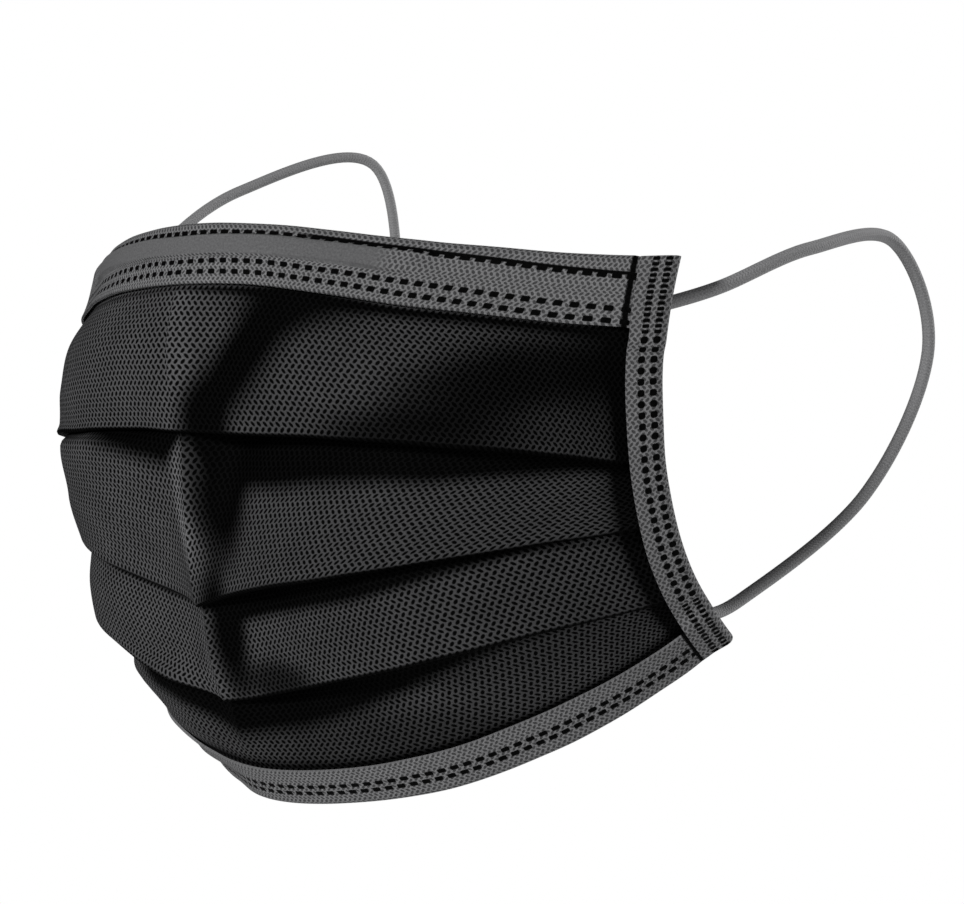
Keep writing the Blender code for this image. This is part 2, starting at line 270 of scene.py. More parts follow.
LAYER = 0.0013                       # from the middle of one cloth layer to the next
STACK = 2 * LAYER
SIDE_WIDTH = 0.0062
WELD_INSET = 0.0008
RIDGE_WIDTH = 0.009
SUNK_PLACE = 0.011                   # from the middle plane to the deepest place beside the ridge
SUNK_WIDTH = 0.008
SUNK_START = 0.004                   # over which it fades in from the middle plane
BODY_TAIL = 0.0034
BODY_THICK = 0.0007
BODY_COLUMNS = 108                   # from the middle plane to the side binding
TURN_POINTS = 5                      # round each fold
FLAP_STEPS = 4                       # down the hidden flap between its two folds
FOLD_POINTS = 2 * TURN_POINTS + FLAP_STEPS + 2

FOLD_COLUMNS = ("centre_y", "centre_z", "side", "centre_reach", "side_reach",
                "turn", "centre_rise", "side_rise", "ridge")
FOLD_ROWS = {
    "top":         (-0.0018, 0.0000, 0.02, 0.024, 0.026, 40, 0.00, -0.02, 0.0000),
    "band_edge":   (-0.0039, -0.0096, 0.15, 0.033, 0.038, 42, 0.00, -0.05, 0.0000),
    "lip_1":       (-0.0042, -0.0345, 0.44, 0.031, 0.035, 74, 0.00, -0.14, 0.0000),
    "lip_2":       (0.0042, -0.0654, 0.60, 0.010, 0.060, 63, 0.42, 0.13, 0.0045),
    "lip_3":       (0.0102, -0.0828, 0.80, 0.024, 0.054, 76, 0.17, 0.16, 0.0045),
    "bottom_edge": (0.0130, -0.0951, 0.90, 0.029, 0.026, 48, 0.00, 0.72, 0.0000),
    "bottom":      (0.0172, -0.1008, 0.98, 0.028, 0.026, 56, 0.00, 0.77, 0.0000),
}

# lip: overlap behind it at the middle and at the sides, then for the left and for the right half
# the gape of the pleat's mouth, and how much deeper it sinks beside the nose ridge
PLEATS = {
    "lip_1": (0.0050, 0.0060, {1: (0.0068, 0.0030), -1: (0.0014, 0.0)}),
    "lip_2": (0.0040, 0.0048, {1: (0.0042, 0.0012), -1: (0.0030, 0.0)}),
    "lip_3": (0.0040, 0.0048, {1: (0.0052, 0.0010), -1: (0.0040, 0.0)}),
}

# lower line of each stretch of cloth, rows of faces down it, forward bulge
PANELS = (
    ("band_edge", 6, 0.0000),
    ("lip_1", 36, 0.0016),
    ("lip_2", 34, 0.0016),
    ("lip_3", 24, 0.0010),
    ("bottom_edge", 16, 0.0012),
    ("bottom", 5, 0.0000),
)


def row_value(row, column):
    return FOLD_ROWS[row][FOLD_COLUMNS.index(column)]


def row_point(row, share, creased=True):
    """A point on a line across the mask. Past share 1 the line runs on under the side binding."""
    value = dict(zip(FOLD_COLUMNS, FOLD_ROWS[row]))
    outwards = side_frame(value["side"])[0]
    start = Vector((0.0, value["centre_y"], value["centre_z"]))
    end = side_edge(value["side"]) - outwards * (SIDE_WIDTH + WELD_INSET)
    turn = math.radians(value["turn"])
    arrive = Vector((math.cos(turn), math.sin(turn), value["side_rise"]))
    leave = Vector((1.0, 0.0, value["centre_rise"]))
    curve = (start, start + leave * value["centre_reach"], end - arrive * value["side_reach"], end)
    point = bezier(curve, min(share, 1.0))
    if creased:
        point.y -= value["ridge"] * math.exp(-point.x / RIDGE_WIDTH)
    if share > 1.0:
        point += outwards * (share - 1.0)
    return point


def row_back(row, share, run):
    """The direction towards the face, square to a line across the mask and to the run down it."""
    if share > 1.0:
        return side_frame(row_value(row, "side"))[1]
    step = 0.01
    before = row_point(row, max(share - step, 0.0), creased=False)
    after = row_point(row, min(share + step, 1.0), creased=False)
    if share < step:
        before = Vector((-after.x, after.y, after.z))
        run = Vector((0.0, run.y, run.z))
    return (after - before).cross(run).normalized()


def welded_point(place, share):
    """A point of the flat cloth under the left side binding, from the weld line outwards."""
    outwards = side_frame(place)[0]
    return side_edge(place) - outwards * (SIDE_WIDTH + WELD_INSET - max(share - 1, 0.0))


def panel_points(top, upper_place, lower, bulge, share, downs):
    """Points down a stretch of cloth at one place across, at the given shares of its height."""
    low = row_point(lower, share)
    back = row_back(lower, share, low - top)
    swell = bulge * 4 * max(0.0, 1 - share**4)
    lower_place = row_value(lower, "side")
    upper_weld, lower_weld = welded_point(upper_place, share), welded_point(lower_place, share)
    points = []
    for down in downs:
        bow = welded_point(mix(upper_place, lower_place, down), share)
        bow -= mix(upper_weld, lower_weld, down)
        point = mix(top, low, down) - back * swell * down * (1 - down)
        points.append(point + bow * min(share, 1.0)**6)
    return points


def pleat_values(lip, share, half):
    """Overlap behind a lip, and its distance to the next panel, at a place across the mask."""
    centre, side, mouths = PLEATS[lip]
    gape, sunk = mouths[half]
    flat = min(share, 1.0)
    distance = row_point(lip, flat).x
    opened = gape * (1 - math.exp(-distance / RIDGE_WIDTH)) * (1 - flat)
    beside = math.exp(-((distance - SUNK_PLACE) / SUNK_WIDTH)**2)
    beside *= 1 - math.exp(-distance / SUNK_START)
    return mix(centre, side, flat), STACK + opened + sunk * beside


def overlap_at_side(lip):
    return PLEATS[lip][1]


def half_turn(start, back, run, count):
    """Points round a fold of the cloth, from start to one layer further back."""
    centre = start + back * LAYER / 2
    turns = [math.pi * step / (count + 1) for step in range(1, count + 1)]
    return [centre - back * math.cos(a) * LAYER / 2 + run * math.sin(a) * LAYER / 2 for a in turns]


def body_column(share, half):
    """The cloth's middle surface at one place across, from its top edge to its bottom edge."""
    top = row_point("top", share)
    points = [top]
    upper_place = row_value("top", "side")
    for lower, count, bulge in PANELS:
        downs = [step / count for step in range(1, count + 1)]
        points += panel_points(top, upper_place, lower, bulge, share, downs)
        lower_place = row_value(lower, "side")
        if lower not in PLEATS:
            top, upper_place = row_point(lower, share), lower_place
            continue
        lip = points[-1]
        run = (lip - points[-2]).normalized()
        back = row_back(lower, share, run)
        overlap, depth = pleat_values(lower, share, half)
        up = 1 - overlap / (lip - top).length
        side_drop = row_point(lower, 1.0) - welded_point(upper_place, 1.0)
        side_up = 1 - overlap_at_side(lower) / side_drop.length
        tuck = panel_points(top, upper_place, lower, bulge, share, [up])[0]
        tuck += row_back(lower, share, lip - top) * depth
        points += half_turn(lip, back, run, TURN_POINTS)
        inner = tuck - back * LAYER
        points += [mix(lip + back * LAYER, inner, step / FLAP_STEPS) for step in range(FLAP_STEPS + 1)]
        points += half_turn(inner, back, -run, TURN_POINTS)
        points.append(tuck)
        top, upper_place = tuck, mix(upper_place, lower_place, side_up)
    return points


def column_shares(count, tail, tail_steps=3):
    """Places across the left half, closer together near the middle, then under the side binding."""
    shares = [mix(step / count, (step / count)**1.6, 0.5) for step in range(count + 1)]
    return shares + [1.0 + tail * (step + 1) / tail_steps for step in range(tail_steps)]


# The right half lies a little differently: height, and how far it stands outwards there. This fades
# in from the middle plane and out again towards the side binding.
RIGHT_HALF = (
    (0.0020, 0.0), (-0.0096, -0.0014), (-0.0200, 0.0003), (-0.0280, -0.0004), (-0.0345, -0.0014),
    (-0.0385, 0.0024), (-0.0480, 0.0010), (-0.0580, -0.0002), (-0.0660, 0.0006), (-0.0750, 0.0003),
    (-0.0820, 0.0042), (-0.0900, 0.0024), (-0.0960, -0.0010), (-0.0990, -0.0030), (-0.1060, -0.0030))
RIGHT_FADE_IN = 0.016
RIGHT_FADE_FROM = 0.040
RIGHT_FADE_OUT = 0.026

# Soft hills (+) and hollows (-) of the left half: centre x and z, half width and half height, lean
# (x gained for each unit of height), and how far they stand outwards
FORMS = (
    (0.0120, -0.0210, 0.0080, 0.0110, 0.45, -0.0020),
    (0.0010, -0.0220, 0.0050, 0.0130, 0.00, 0.0008),
    (0.0430, -0.0250, 0.0160, 0.0100, -0.60, 0.0009),
    (0.0620, -0.0200, 0.0110, 0.0100, 0.00, -0.0010),
)

# Unevenness all over, as wave length and height of broad and of fine waves
BROAD_WAVE, BROAD_HEIGHT = 0.030, 0.0006
FINE_WAVE, FINE_HEIGHT = 0.011, 0.00015

noise.seed_set(7)                    # or the unevenness would change from run to run


def table_value(table, place):
    """A smooth reading between the rows of a table of (place, value), places falling."""
    for (upper, high), (lower, low) in zip(table, table[1:]):
        if place >= lower:
            return mix(high, low, smooth_step((upper - place) / (upper - lower)))
    return 0.0


def settle(point):
    """Moves a point with the soft unevenness of all the cloth together."""
    outwards = Vector((point.x, point.y - 0.060, 0.0)).normalized()
    far = abs(point.x)
    if point.x < 0:
        across = smooth_step(far / RIGHT_FADE_IN)
        across *= 1 - smooth_step((far - RIGHT_FADE_FROM) / RIGHT_FADE_OUT)
        point = point + outwards * table_value(RIGHT_HALF, point.z) * across
    else:
        for x, z, wide, high, slant, out in FORMS:
            up = point.z - z
            sideways = (point.x - x - slant * up) / wide
            point = point + outwards * out * math.exp(-sideways**2 - (up / high)**2)
    broad = noise.noise_vector(point / BROAD_WAVE + Vector((3.1, 0.7, 5.2)))
    fine = noise.noise_vector(point / FINE_WAVE + Vector((9.4, 2.2, 1.3)))
    return point + broad * BROAD_HEIGHT + fine * FINE_HEIGHT


# Painted shadow in the mouths of the folds, the same from every side, for the shade where little light
# gets in; under band_edge, a thin painted shadow line below the top binding. Below each lip: x, from the
# right side to the left, how far down the cloth is painted black, and over how much more it fades
PAINTED_MOUTH_SHADOWS = {
    "band_edge": ((-0.080, 0.0003, 0.0008), (0.0, 0.0003, 0.0009), (0.030, 0.0008, 0.0030),
                  (0.080, 0.0006, 0.0030)),
    "lip_1": ((-0.080, 0.0020, 0.0030), (-0.060, 0.0012, 0.0040), (-0.034, 0.0006, 0.0030),
              (-0.022, 0.0026, 0.0050), (-0.006, 0.0046, 0.0050), (-0.0015, 0.0006, 0.0030),
              (0.001, 0.0006, 0.0040), (0.005, 0.0085, 0.0050), (0.020, 0.0085, 0.0050),
              (0.034, 0.0066, 0.0050), (0.050, 0.0048, 0.0040), (0.066, 0.0014, 0.0030),
              (0.080, 0.0003, 0.0020)),
    "lip_2": ((-0.080, 0.0003, 0.0012), (-0.006, 0.0008, 0.0018), (0.001, 0.0008, 0.0020),
              (0.006, 0.0028, 0.0026), (0.014, 0.0024, 0.0026), (0.036, 0.0026, 0.0030),
              (0.050, 0.0014, 0.0028), (0.066, 0.0003, 0.0012), (0.080, 0.0002, 0.0010)),
    "lip_3": ((-0.080, 0.0004, 0.0015), (-0.034, 0.0016, 0.0030), (-0.022, 0.0042, 0.0040),
              (0.0, 0.0056, 0.0040), (0.014, 0.0056, 0.0044), (0.034, 0.0040, 0.0040),
              (0.050, 0.0018, 0.0030), (0.064, 0.0005, 0.0018), (0.080, 0.0002, 0.0010)),
}

NO_MOUTH_SHADOW = (-1.0, 0.5)               # painted shadow's reach and fade where no lip hangs above

EDGE_SHADOW_DARKNESS = 0.9                        # how dark the painted shadow line is beside the bindings' edges on the cloth
EDGE_SHADOW_SIDE = 0.972                 # share of the width at which it starts, beside the side bindings
EDGE_SHADOW_SIDE_FADE = 0.012
EDGE_SHADOW_BOTTOM = 0.0006              # its height above the bottom binding
EDGE_SHADOW_BOTTOM_FADE = 0.0010

# Painted shade in hollows, and painted highlight on crests (below 0): x and z of the middle, half
# width, half height, lean (x gained for each unit of height), and how dark
PAINTED_SHADE_AND_HIGHLIGHTS = (
    (0.0175, -0.0225, 0.0095, 0.0170, 0.90, 1.00),
    (0.0080, -0.0330, 0.0060, 0.0070, 0.00, 0.95),
    (0.0290, -0.0120, 0.0150, 0.0060, 0.00, 0.85),
    (0.0620, -0.0260, 0.0150, 0.0090, 0.90, 0.90),
    (0.0500, -0.0355, 0.0170, 0.0055, 0.00, 0.85),
    (0.0760, -0.0240, 0.0085, 0.0220, 0.00, 0.80),
    (0.0065, -0.0460, 0.0068, 0.0140, 0.00, 1.00),
    (0.0040, -0.0700, 0.0040, 0.0130, 0.00, 1.00),
    (0.0140, -0.0790, 0.0100, 0.0040, 0.00, 0.80),
    (0.0450, -0.0500, 0.0430, 0.0600, 0.00, 0.30),
    (0.0300, -0.0900, 0.0450, 0.0080, 0.00, 0.50),
    (0.0020, -0.0220, 0.0035, 0.0200, 0.00, -0.25),
    (-0.0015, -0.0450, 0.0022, 0.0110, -0.10, -0.90),
    (0.0005, -0.0560, 0.0026, 0.0070, -0.20, -0.60),
    (-0.0010, -0.0740, 0.0024, 0.0100, 0.00, -0.35),
)


def table_row(table, place):
    """The values of a table at a place between its rows, places rising."""
    place = min(max(place, table[0][0]), table[-1][0])
    for (low, *before), (high, *after) in zip(table, table[1:]):
        if place <= high:
            share = (place - low) / (high - low)
            return [mix(a, b, share) for a, b in zip(before, after)]


def column_painted_shade(points, share, half):
    """Painted shade of each point of a body column, 0 to 1: painted shadow below its lip above and beside
    the bindings, painted shade in the hollows and painted highlight on the crests.
    """
    shades = [1.0]
    above = None
    for lower, count, bulge in PANELS:
        overlap = pleat_values(above, share, half)[0] if above in PLEATS else 0.0
        run = -overlap
        for step in range(count):
            at = len(shades)
            run += (points[at] - points[at - 1]).length
            reach, fade = NO_MOUTH_SHADOW
            if above in PAINTED_MOUTH_SHADOWS:
                reach, fade = table_row(PAINTED_MOUTH_SHADOWS[above], half * points[at].x)
            dark = 1 - smooth_step((run - reach) / fade)
            for x, z, wide, high, slant, most in PAINTED_SHADE_AND_HIGHLIGHTS:
                up = points[at].z - z
                sideways = (half * points[at].x - x - slant * up) / wide
                dark += (1 - dark) * most * math.exp(-(sideways**2 + (up / high)**2)**2)
            # Painted shadow lines beside the side binding and just above the bottom binding
            dark += (1 - dark) * EDGE_SHADOW_DARKNESS * smooth_step((share - EDGE_SHADOW_SIDE) / EDGE_SHADOW_SIDE_FADE)
            if lower == "bottom_edge":
                left = (points[at] - points[at + count - 1 - step]).length
                near = 1 - smooth_step((left - EDGE_SHADOW_BOTTOM) / EDGE_SHADOW_BOTTOM_FADE)
                dark += (1 - dark) * EDGE_SHADOW_DARKNESS * near
            shades.append(dark)
        if lower in PLEATS:
            shades += [1.0] * FOLD_POINTS
        above = lower
    return shades


def both_halves(left_columns, right_columns):
    """Lines from -X to +X, top line first, out of the columns of each half from the middle out."""
    lines = []
    for row in range(len(left_columns[0])):
        left = [column[row] for column in left_columns]
        mirrored = [column[row] for column in right_columns[:0:-1]]
        right = [Vector((-p.x, p.y, p.z)) for p in mirrored]
        lines.append([settle(p) for p in right + left])
    return lines


def mirrored_lines(columns):
    return both_halves(columns, columns)


def flat_sizes(lines):
    """Mean distances in mm across (from the middle) and down (from the top) of the flat cloth."""
    across = [0.0]
    for c in range(len(lines[0]) - 1):
        steps = [(line[c + 1] - line[c]).length for line in lines]
        across.append(across[-1] + sum(steps) / len(lines) * 1000)
    middle = across[-1] / 2
    down = [0.0]
    for upper, lower in zip(lines, lines[1:]):
        down.append(down[-1] + sum((a - b).length for a, b in zip(upper, lower)) / len(upper) * 1000)
    return [a - middle for a in across], down


def thicken(made, thickness):
    """Gives an open cloth piece its wall, and smooth shading away from its cut edges."""
    wall = made.modifiers.new("Solidify", "SOLIDIFY")
    wall.thickness = thickness
    wall.offset = 0.0
    wall.use_even_offset = True
    bpy.ops.object.modifier_apply(modifier="Solidify")
    bpy.ops.object.shade_smooth_by_angle(angle=math.radians(50))


shares = column_shares(BODY_COLUMNS, BODY_TAIL)
body_lines = both_halves([body_column(share, 1) for share in shares],
                         [body_column(share, -1) for share in shares])
body_across, body_down = flat_sizes(body_lines)
body = mapped_grid("mask_cloth", body_lines, body_across, body_down)
# Painted shade: each point's painted shadow, shade and highlight is stored on the cloth as a point
# attribute
painted_shade_columns = [column_painted_shade(body_column(share, half), share, half)
                 for half, ordered in ((-1, shares[:0:-1]), (1, shares)) for share in ordered]
painted_shade_values = body.data.attributes.new("painted_fold_shade", "FLOAT", "POINT")
columns = len(painted_shade_columns)
body_rows = len(body_lines)
for index, value in enumerate(painted_shade_values.data):
    value.value = painted_shade_columns[index % columns][body_rows - 1 - index // columns]
thicken(body, BODY_THICK)
# The first vertices are the outer shell's. The rest, on the face's side, get no painted shade.
for value in body.data.attributes["painted_fold_shade"].data[columns * body_rows:]:
    value.value = 0.0

# Spunbond polypropylene: a mat of fine fibres, with a lattice of small oval pits where the embossing
# roller melted it through. The pits are darker, and lean alternately. They are drawn somewhat coarser
# than the real ones.
PIT_PITCH = 1.26                     # mm between pits of one row
PIT_ROW = 0.88                       # mm between rows
PIT_LONG = 0.54                      # mm, half the oval's length
PIT_WIDE = 0.29
DARKEST_PAINTED_SHADE = 0.03                  # of the cloth's colour, left where the painted shade is darkest


def embossed_pits(tree, flat_mm, flat_uv, size=1.0):
    """1 in the embossed pits and 0 between them, from the flat cloth's millimetres."""
    wander = add_node(tree, "ShaderNodeTexNoise", {"Vector": flat_uv, "Scale": 0.9, "Detail": 2.0})
    cell = work_out(tree, dict(flat_mm, wander=wander.outputs[0]), (
        ("rows", "DIVIDE", "t", PIT_ROW * size),
        ("row", "FLOOR", "rows"),
        ("odd", "FLOORED_MODULO", "row", 2.0),
        ("along", "DIVIDE", "s", PIT_PITCH * size),
        ("shifted", "MULTIPLY_ADD", "odd", 0.5, "along"),
        ("x_cell", "FRACT", "shifted"),
        ("y_cell", "FRACT", "rows"),
        ("x", "MULTIPLY_ADD", "x_cell", PIT_PITCH, -PIT_PITCH / 2),
        ("y", "MULTIPLY_ADD", "y_cell", PIT_ROW, -PIT_ROW / 2),
        ("lean", "MULTIPLY_ADD", "odd", 2.0, -1.0),
        ("leant", "MULTIPLY", "y", "lean"),
        ("long", "ADD", "x", "leant"),
        ("wide", "SUBTRACT", "x", "leant"),
        ("long_2", "MULTIPLY", "long", "long"),
        ("wide_2", "MULTIPLY", "wide", "wide"),
        ("long_part", "MULTIPLY", "long_2", 0.5 / PIT_LONG**2),
        ("far", "MULTIPLY_ADD", "wide_2", 0.5 / PIT_WIDE**2, "long_part"),
        ("uneven", "MULTIPLY_ADD", "wander", 1.0, 0.55),
        ("edge", "MULTIPLY", "far", "uneven"),
    ))
    return add_node(tree, "ShaderNodeMapRange", {0: cell["edge"], 1: 1.5, 2: 0.45},
                    interpolation_type="SMOOTHSTEP")


black_cloth, tree, shader, flat_mm, flat_uv = new_material("black_spunbond_polypropylene")
pits = embossed_pits(tree, flat_mm, flat_uv)
fibres = add_node(tree, "ShaderNodeTexNoise",
                  {"Vector": flat_uv, "Scale": 2.6, "Detail": 5.0, "Roughness": 0.7})
patches = add_node(tree, "ShaderNodeTexNoise", {"Vector": flat_uv, "Scale": 0.12, "Detail": 3.0})
tone = work_out(tree, {"fibres": fibres.outputs[0], "patches": patches.outputs[0]}, (
    ("broad", "MULTIPLY_ADD", "patches", 0.5, -0.25),
    ("tone", "MULTIPLY_ADD", "fibres", 1.3, "broad"),
    ("share", "SUBTRACT", "tone", 0.15),
))
weave = add_node(tree, "ShaderNodeMix", {0: tone["share"], 6: linear("#303031"), 7: linear("#545455")},
                 data_type="RGBA")
embossed = add_node(tree, "ShaderNodeMix", {0: pits, 6: weave.outputs[2], 7: linear("#040404")},
                    data_type="RGBA")
# Painted shade and highlight: the cloth's colour is scaled by one minus the painted fold shade
fold = add_node(tree, "ShaderNodeAttribute", attribute_name="painted_fold_shade")
left = work_out(tree, {"shade": fold.outputs["Fac"]}, (
    ("light", "SUBTRACT", 1.0, "shade"),
    ("least", "MAXIMUM", "light", DARKEST_PAINTED_SHADE),
))
painted_shade_cloth_colour = add_node(tree, "ShaderNodeVectorMath", {0: embossed.outputs[2], "Scale": left["least"]},
                        operation="SCALE")
relief = work_out(tree, {"pits": pits, "fibres": fibres.outputs[0]}, (
    ("grain", "MULTIPLY", "fibres", 0.25),
    ("height", "SUBTRACT", "grain", "pits"),
))
bump = add_node(tree, "ShaderNodeBump", {"Height": relief["height"], "Distance": 0.00016, "Strength": 0.7})
tree.links.new(painted_shade_cloth_colour.outputs[0], shader.inputs["Base Color"])
tree.links.new(bump.outputs[0], shader.inputs["Normal"])
shader.inputs["Roughness"].default_value = 0.62
shader.inputs["Specular IOR Level"].default_value = 0.01
body.data.materials.append(black_cloth)
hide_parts("mask_body")
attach(body, "root")


# ---------------------------------------------------------------------------------------------
# Top and bottom bindings, and the nose wire. Grey spunbond tape folded over the cloth's edge and
# welded through in two rows of dots. In the top one, more welds along the fold close the channel of
# the wire, a flat strip of galvanised soft iron.
# ---------------------------------------------------------------------------------------------

BINDING_THICK = 0.0005
TAPE_PITS = 0.80                     # size of the tape's embossing, as a share of the black cloth's
BINDING_COLUMNS = 110
BACK_FLAP = 0.65                     # inner flap, as a share of the outer one
WIRE_LENGTH = 0.090
CHANNEL_TOP = 0.0011                 # below the top line
CHANNEL_HEIGHT = 0.0040
CHANNEL_SLOPE = 0.0004
CHANNEL_RISE = 0.0008
CHANNEL_RUN_OUT = 0.004

# In mm of the flat tape: how far the rows lie below the tape's zero line, dot width and dot height
TOP_PITCH = 2.6
TOP_WELDS = ((6.7, 1.45, 0.95), (8.8, 1.45, 0.95), (0.8, 1.75, 1.2))
TOP_DRIFT = -1.3                     # the rows sink by this much over TOP_DRIFT_AT from the middle
TOP_DRIFT_AT = 80.0
BOTTOM_PITCH = 2.35
BOTTOM_WELDS = ((3.9, 0.0), (5.5, 0.5))      # how far below, and shift in pitches
BOTTOM_DOT = (1.45, 0.95)
CHANNEL_MIDDLE = 3.2                 # the wire irons the embossing smooth within this band
CHANNEL_HALF = 2.1
IRONED_PITS = 0.50
SEAM_FROM = 26.0                     # where the seam along the fold begins, from the middle
SEAM_LINE = 0.35                     # its middle below the zero line, and half its width
SEAM_HALF = 0.42
EDGE_SHADOW_PAST = 0.2                   # beyond the weld line, the fourth column from the end
EDGE_SHADOW_HALF = 0.6


def binding_column(outer_row, inner_row, share, distances, rises):
    """A binding's middle surface at one place across: outer flap upwards, fold, inner flap."""
    fold = row_point(outer_row, share)
    edge = row_point(inner_row, share)
    run = (edge - fold).normalized()
    width = (edge - fold).length
    downwards = math.copysign(1, row_value(inner_row, "side") - row_value(outer_row, "side"))
    back = row_back(outer_row, share, run * downwards)
    points = [fold + run * width * d - back * (LAYER + rise) for d, rise in zip(distances, rises)]
    for step in range(1, 8):
        turn = math.pi * step / 8
        points.append(fold - back * math.cos(turn) * LAYER - run * math.sin(turn) * LAYER)
    points += [fold + run * width * BACK_FLAP * step / 8 + back * LAYER for step in range(9)]
    return points


def top_column(share):
    """The top binding at one place across, with the channel that the nose wire raises."""
    past_end = row_point("top", share).x - WIRE_LENGTH / 2
    full = CHANNEL_RISE * (1 - smooth_step(past_end / CHANNEL_RUN_OUT))
    width = (row_point("band_edge", share) - row_point("top", share)).length
    distances = [1 - step / 32 for step in range(33)]
    rises = []
    for distance in distances:
        below = distance * width - CHANNEL_TOP
        rises.append(full * smooth_step(below / CHANNEL_SLOPE)
                     * smooth_step((CHANNEL_HEIGHT - below) / CHANNEL_SLOPE))
    return binding_column("top", "band_edge", share, distances, rises)


top_lines = mirrored_lines([top_column(share) for share in column_shares(BINDING_COLUMNS, BODY_TAIL)])
top_lines.reverse()
across, down = flat_sizes(top_lines)
fold_at = len(top_lines) - 33
top_zero = down[fold_at]
top_across = across
top_binding = mapped_grid("top_binding_tape", top_lines, across, [d - top_zero for d in down])
thicken(top_binding, BINDING_THICK)

level = [1 - step / 16 for step in range(17)]
bottom_lines = mirrored_lines([binding_column("bottom", "bottom_edge", share, level, [0.0] * 17)
                               for share in column_shares(BINDING_COLUMNS, BODY_TAIL)])
across, down = flat_sizes(bottom_lines)
bottom_binding = mapped_grid("bottom_binding_tape", bottom_lines, across, down)
thicken(bottom_binding, BINDING_THICK)


def weld_row(tree, flat_mm, below, pitch, width, height, shift=0.0, corner=0.25):
    """1 in a row of rounded weld dots, below the tape's own zero line, from the flat cloth's mm."""
    dot = work_out(tree, flat_mm, (
        ("steps", "DIVIDE", "s", pitch),
        ("shifted", "ADD", "steps", shift),
        ("cell", "FRACT", "shifted"),
        ("x", "MULTIPLY_ADD", "cell", pitch, -pitch / 2),
        ("x_out", "ABSOLUTE", "x"),
        ("x_past", "SUBTRACT", "x_out", width / 2 - corner),
        ("x_over", "MAXIMUM", "x_past", 0.0),
        ("y", "SUBTRACT", "t", below),
        ("y_out", "ABSOLUTE", "y"),
        ("y_past", "SUBTRACT", "y_out", height / 2 - corner),
        ("y_over", "MAXIMUM", "y_past", 0.0),
        ("x_2", "MULTIPLY", "x_over", "x_over"),
        ("both", "MULTIPLY_ADD", "y_over", "y_over", "x_2"),
        ("reach", "SQRT", "both"),
    ))
    return add_node(tree, "ShaderNodeMapRange", {0: dot["reach"], 1: corner + 0.06, 2: corner - 0.06},
                    interpolation_type="SMOOTHSTEP")


def edge_shadow_ends(tree, flat_mm, across):
    """1 in the line beside a side binding's edge, near both of the tape's ends: painted shadow in colour,
    and a shallow groove in the bump.
    """
    line = work_out(tree, flat_mm, (
        ("far", "ABSOLUTE", "s"),
        ("past", "SUBTRACT", "far", across[-4] + EDGE_SHADOW_PAST),
        ("off", "ABSOLUTE", "past"),
        ("within", "SUBTRACT", EDGE_SHADOW_HALF, "off"),
        ("steep", "MULTIPLY", "within", 4.0),
    ))
    return add_node(tree, "ShaderNodeClamp", {0: line["steep"]})


def joined(tree, masks):
    whole = masks[0]
    for mask in masks[1:]:
        whole = add_node(tree, "ShaderNodeMath", {0: whole, 1: mask}, operation="MAXIMUM")
    return whole


def finish_tape(tree, shader, flat_uv, pits, welds):
    """Grey spunbond with its faint embossing, and the black melted weld dots pressed through it; on the
    top and bottom tapes the same black also paints the shadow line beside the side bindings' edges.
    """
    fibres = add_node(tree, "ShaderNodeTexNoise",
                      {"Vector": flat_uv, "Scale": 2.4, "Detail": 5.0, "Roughness": 0.7})
    tone = work_out(tree, {"fibres": fibres.outputs[0]}, (("share", "MULTIPLY_ADD", "fibres", 1.6, -0.3),))
    web = add_node(tree, "ShaderNodeMix", {0: tone["share"], 6: linear("#4a4a4b"), 7: linear("#7e7e7f")},
                   data_type="RGBA")
    depth = add_node(tree, "ShaderNodeMath", {0: pits, 1: 0.75}, operation="MULTIPLY")
    embossed = add_node(tree, "ShaderNodeMix", {0: depth, 6: web.outputs[2], 7: linear("#161617")},
                        data_type="RGBA")
    welded = add_node(tree, "ShaderNodeMix", {0: welds, 6: embossed.outputs[2], 7: linear("#030303")},
                      data_type="RGBA")
    relief = work_out(tree, {"pits": pits, "fibres": fibres.outputs[0], "welds": welds}, (
        ("grain", "MULTIPLY", "fibres", 0.25),
        ("pitted", "MULTIPLY_ADD", "pits", -0.6, "grain"),
        ("height", "MULTIPLY_ADD", "welds", -2.0, "pitted"),
    ))
    bump = add_node(tree, "ShaderNodeBump",
                    {"Height": relief["height"], "Distance": 0.00016, "Strength": 0.8})
    tree.links.new(welded.outputs[2], shader.inputs["Base Color"])
    tree.links.new(bump.outputs[0], shader.inputs["Normal"])
    shader.inputs["Roughness"].default_value = 0.66
    shader.inputs["Specular IOR Level"].default_value = 0.02


top_tape, tree, shader, flat_mm, flat_uv = new_material("grey_spunbond_top_binding")
pits = embossed_pits(tree, flat_mm, flat_uv, TAPE_PITS)
drifted = work_out(tree, flat_mm, (
    ("far", "ABSOLUTE", "s"),
    ("share", "DIVIDE", "far", TOP_DRIFT_AT),
    ("square", "MULTIPLY", "share", "share"),
    ("t", "MULTIPLY_ADD", "square", TOP_DRIFT, "t"),
))
drifted = {"s": drifted["s"], "t": drifted["t"]}
welds = joined(tree, [weld_row(tree, drifted, below, TOP_PITCH, width, height)
                      for below, width, height in TOP_WELDS])
channel = work_out(tree, drifted, (
    ("far", "ABSOLUTE", "s"),
    ("end", "SUBTRACT", WIRE_LENGTH / 2 * 1000, "far"),
    ("in_length", "DIVIDE", "end", CHANNEL_RUN_OUT * 1000),
    ("mid", "SUBTRACT", "t", CHANNEL_MIDDLE),
    ("off", "ABSOLUTE", "mid"),
    ("within", "SUBTRACT", CHANNEL_HALF, "off"),
    ("in_height", "MULTIPLY", "within", 4.0),
    ("both", "MINIMUM", "in_length", "in_height"),
))
smooth = add_node(tree, "ShaderNodeClamp", {0: channel["both"]})
shown = work_out(tree, {"pits": pits, "smooth": smooth}, (
    ("rest", "SUBTRACT", IRONED_PITS, "pits"),
    ("pits", "MULTIPLY_ADD", "smooth", "rest", "pits"),
))
